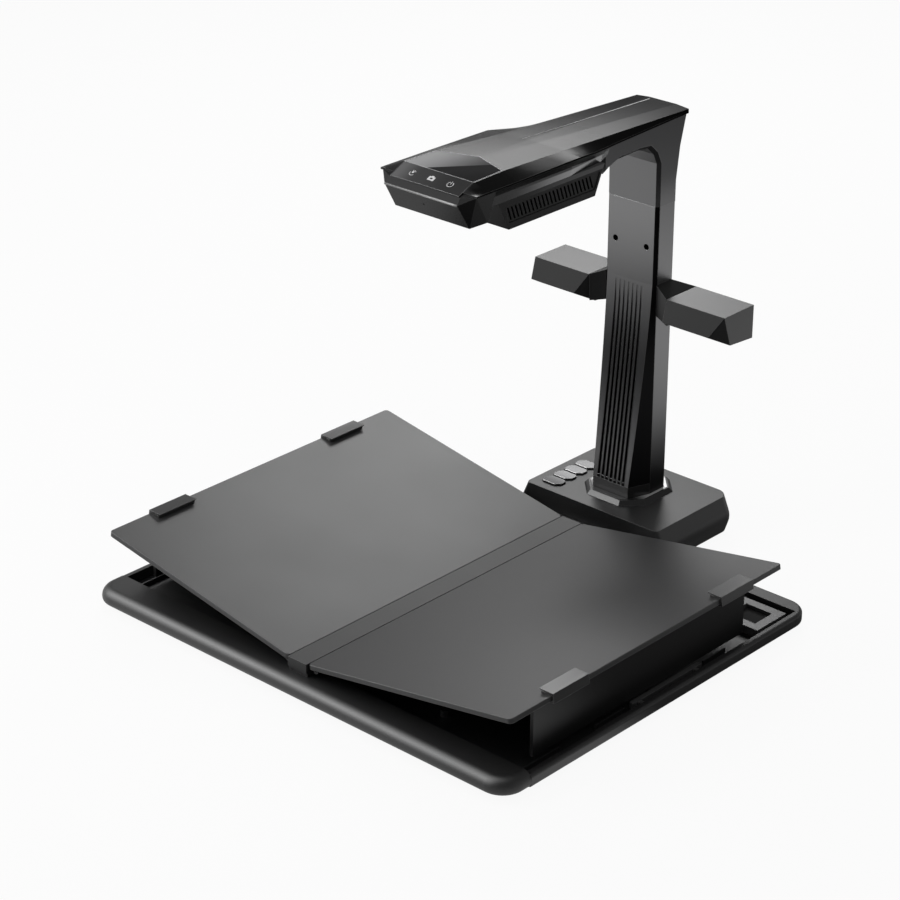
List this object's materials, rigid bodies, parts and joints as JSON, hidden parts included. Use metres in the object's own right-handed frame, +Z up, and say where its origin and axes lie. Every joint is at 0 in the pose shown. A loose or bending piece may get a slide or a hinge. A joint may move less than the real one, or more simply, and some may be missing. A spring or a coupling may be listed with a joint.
{
  "type": "book scanner",
  "caption": "Book scanner: a low tray with hinged, sloping book boards and sliding page clips, and behind it a mast carrying a camera arm, touch panel, lamp pod and tilting side lights.",
  "frame": {"origin": "on the floor, under the middle of the object's outline in X and Y", "axes": "+X to the object's right as its user sits at it, +Y to the back, towards the mast, +Z up"},
  "size_m": [0.444, 0.4576, 0.3784],
  "materials": {
    "tray_plastic": "satin dark grey, moulded",
    "black_plastic": "matt black, moulded",
    "board_plastic": "satin mid grey, fine grain",
    "silver_plastic": "satin light grey",
    "rubber_black": "matt",
    "steel": "brushed",
    "sheet_steel": "black powder coat",
    "arm_paint": "satin metallic grey paint",
    "base_paint": "satin metallic grey paint",
    "key_metal": "satin, edges polished",
    "gloss_black": "glossy black",
    "gloss_grey": "glossy dark grey",
    "light_grey_body": "satin grey",
    "diffuser_white": "frosted white",
    "lens_glass": "polished",
    "circuit_green": "solder mask",
    "led_yellow": "phosphor strip",
    "ribbon_white": "flat cable",
    "alloy": "as extruded"
  },
  "bodies": {
    "root": {"tray_shell": "tray_plastic", "tray_base_plate": "sheet_steel", "tray_feet": "rubber_black", "tray_screws": "steel", "tray_fittings": "silver_plastic", "corner_mats": "rubber_black", "spine_rail": "board_plastic", "spine_end_cap": "board_plastic", "board_hinge_pins": "steel", "base_housing": "base_paint", "base_plate": "sheet_steel", "base_feet": "rubber_black", "base_screws": "steel", "main_board": "circuit_green", "key_switch_board": "circuit_green", "rear_sockets": "steel", "port_panel": "black_plastic", "mast_collar": "gloss_grey", "collar_ring": "diffuser_white", "mast_foot": "gloss_black", "mast_front_cover": "arm_paint", "mast_rear_shell": "arm_paint", "mast_spine": "alloy", "arm_frame": "alloy", "ribbon_cable": "ribbon_white", "left_light_hub": "black_plastic", "right_light_hub": "black_plastic", "light_pivot_pins": "steel", "elbow_shell": "arm_paint", "arm_hood": "arm_paint", "arm_lower_shell": "gloss_grey", "display_glass": "gloss_black", "touch_panel": "gloss_black", "lamp_pod": "black_plastic", "pod_lamp_lens": "diffuser_white", "head_front_shell": "gloss_grey", "camera_barrel": "gloss_black", "camera_lens": "lens_glass", "camera_board": "circuit_green"},
    "left_board": {"left_board": "board_plastic", "left_prop_pin": "steel"},
    "right_board": {"right_board": "board_plastic", "right_prop_pin": "steel"},
    "left_prop": {"left_prop": "black_plastic"},
    "right_prop": {"right_prop": "black_plastic"},
    "left_front_clip": {"left_front_clip": "board_plastic"},
    "left_rear_clip": {"left_rear_clip": "board_plastic"},
    "right_front_clip": {"right_front_clip": "board_plastic"},
    "right_rear_clip": {"right_rear_clip": "board_plastic"},
    "power_rocker": {"power_rocker": "gloss_black"},
    "left_light": {"left_light_housing": "light_grey_body", "left_light_diffuser": "diffuser_white", "left_light_leds": "led_yellow"},
    "right_light": {"right_light_housing": "light_grey_body", "right_light_diffuser": "diffuser_white", "right_light_leds": "led_yellow"},
    "key_1": {"base_key_1": "key_metal"},
    "key_2": {"base_key_2": "key_metal"},
    "key_3": {"base_key_3": "key_metal"},
    "key_4": {"base_key_4": "key_metal"}
  },
  "joints": [
    {"name": "left_board_fold", "type": "hinge", "parent": "root", "child": "left_board", "pos_m": [-0.01524, 0, 0.02417], "axis": [0, -1, 0], "range_deg": [0, 9.8]},
    {"name": "left_prop_fold", "type": "hinge", "parent": "left_board", "child": "left_prop", "pos_m": [-0.20257, 0, 0.05592], "axis": [0, -1, 0], "range_deg": [0, 78.4]},
    {"name": "left_front_clip_slide", "type": "slide", "parent": "left_board", "child": "left_front_clip", "axis": [0, 1, 0], "range_m": [-0.035, 0.075]},
    {"name": "left_rear_clip_slide", "type": "slide", "parent": "left_board", "child": "left_rear_clip", "axis": [0, 1, 0], "range_m": [-0.075, 0.035]},
    {"name": "left_light_tilt", "type": "hinge", "parent": "root", "child": "left_light", "pos_m": [-0.0411, 0.18575, 0.2085], "axis": [1, 0, 0], "range_deg": [-30, 30]},
    {"name": "right_board_fold", "type": "hinge", "parent": "root", "child": "right_board", "pos_m": [0.01524, 0, 0.02417], "axis": [0, 1, 0], "range_deg": [0, 9.8]},
    {"name": "right_prop_fold", "type": "hinge", "parent": "right_board", "child": "right_prop", "pos_m": [0.20257, 0, 0.05592], "axis": [0, 1, 0], "range_deg": [0, 78.4]},
    {"name": "right_front_clip_slide", "type": "slide", "parent": "right_board", "child": "right_front_clip", "axis": [0, 1, 0], "range_m": [-0.035, 0.075]},
    {"name": "right_rear_clip_slide", "type": "slide", "parent": "right_board", "child": "right_rear_clip", "axis": [0, 1, 0], "range_m": [-0.075, 0.035]},
    {"name": "right_light_tilt", "type": "hinge", "parent": "root", "child": "right_light", "pos_m": [0.0411, 0.18575, 0.2085], "axis": [1, 0, 0], "range_deg": [-30, 30]},
    {"name": "key_1_press", "type": "slide", "parent": "root", "child": "key_1", "axis": [0, 0, -1], "range_m": [0, 0.0008], "stiffness_N_per_m": 600},
    {"name": "key_2_press", "type": "slide", "parent": "root", "child": "key_2", "axis": [0, 0, -1], "range_m": [0, 0.0008], "stiffness_N_per_m": 600},
    {"name": "key_3_press", "type": "slide", "parent": "root", "child": "key_3", "axis": [0, 0, -1], "range_m": [0, 0.0008], "stiffness_N_per_m": 600},
    {"name": "key_4_press", "type": "slide", "parent": "root", "child": "key_4", "axis": [0, 0, -1], "range_m": [0, 0.0008], "stiffness_N_per_m": 600},
    {"name": "power_rocker_tilt", "type": "hinge", "parent": "root", "child": "power_rocker", "pos_m": [-0.027, 0.2261, 0.0165], "axis": [1, 0, 0], "range_deg": [-5, 5]}
  ],
  "couplings": [
    {"joint": "left_prop_fold", "follows": "left_board_fold", "ratio": 8},
    {"joint": "right_prop_fold", "follows": "right_board_fold", "ratio": 8}
  ]
}
